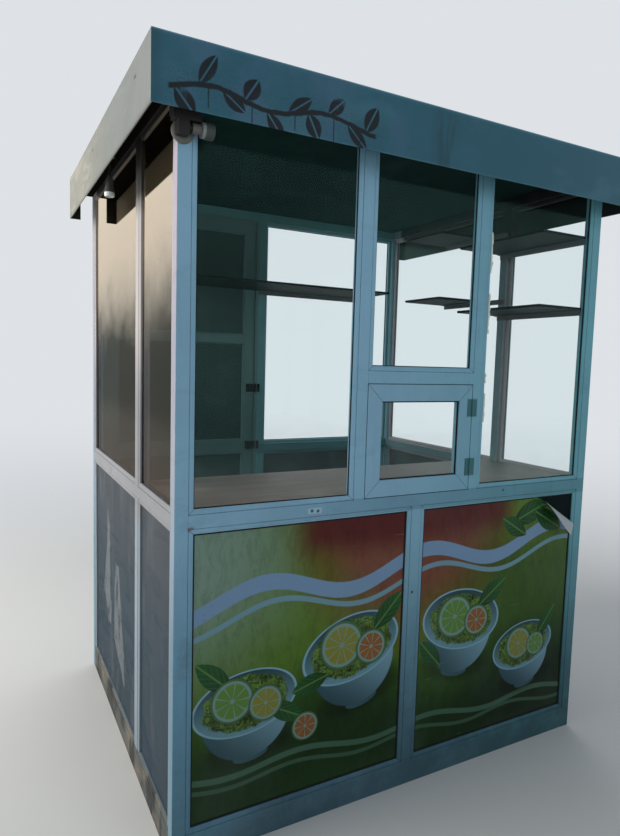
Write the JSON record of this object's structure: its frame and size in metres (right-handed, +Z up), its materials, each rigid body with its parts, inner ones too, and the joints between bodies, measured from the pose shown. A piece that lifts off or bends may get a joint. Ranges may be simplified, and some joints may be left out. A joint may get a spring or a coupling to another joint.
{
  "type": "street kiosk",
  "caption": "Glazed aluminium sales kiosk with a flat overhanging roof, a small serving sash above a waist-high counter, and a hinged rear door.",
  "frame": {"origin": "on the ground, at the middle of the whole outline", "axes": "+X to the right along the serving front, +Y from the front to the rear, +Z up"},
  "size_m": [1.864, 1.492, 2.27],
  "materials": {
    "frame_white": "satin powder coat, dusty",
    "glass": "clear, dusty",
    "printed_board": "printed film in greens, yellow and red",
    "grey_board": "scratched, with film residue",
    "door_board": "dark satin",
    "gasket": "matte",
    "hinge_metal": "dull",
    "lock_black": "matte",
    "fascia_sheet": "grey, smeared",
    "roof_metal": "galvanised, weathered",
    "timber": "sawn",
    "plywood": "weathered",
    "counter_board": "worn",
    "shelf_board": "dark coating",
    "angle_metal": "mill finish",
    "lamp_plastic": "yellowed"
  },
  "bodies": {
    "kiosk": {"front_left_post": "frame_white", "front_right_post": "frame_white", "rear_left_post": "frame_white", "rear_right_post": "frame_white", "front_rails": "frame_white", "left_rails": "frame_white", "right_rails": "frame_white", "rear_rails": "frame_white", "front_mullions": "frame_white", "left_mullions": "frame_white", "right_mullions": "frame_white", "door_jamb": "frame_white", "front_glass": "glass", "left_glass": "glass", "right_glass": "glass", "rear_glass": "glass", "front_beads": "frame_white", "left_beads": "frame_white", "right_beads": "frame_white", "rear_beads": "frame_white", "front_panels": "printed_board", "left_panels": "grey_board", "right_panels": "grey_board", "rear_panel": "grey_board", "serving_sash": "frame_white", "sash_glass": "glass", "sash_gasket": "gasket", "sash_hinges": "hinge_metal", "door_stop": "frame_white", "hinge_pins": "hinge_metal", "lock_keeps": "lock_black", "ceiling_board": "plywood", "soffit_board": "plywood", "roof_bearers": "timber", "roof_purlins": "timber", "roof_sheet": "roof_metal", "front_fascia": "fascia_sheet", "left_fascia": "fascia_sheet", "right_fascia": "fascia_sheet", "floor_deck": "plywood", "floor_joists": "timber", "counter_top": "counter_board", "counter_battens": "timber", "shelves": "shelf_board", "shelf_angles": "angle_metal", "lamp_block": "timber", "corner_lamp": "lamp_plastic", "side_lamp": "lamp_plastic"},
    "door": {"door_stiles": "frame_white", "door_rails": "frame_white", "door_boards": "door_board", "door_beads": "frame_white", "door_locks": "lock_black", "door_hinges": "hinge_metal"}
  },
  "joints": [
    {"name": "door_hinge", "type": "hinge", "parent": "kiosk", "child": "door", "pos_m": [-0.7975, 0.722, 0], "axis": [0, 0, 1], "range_deg": [0, 120]}
  ]
}
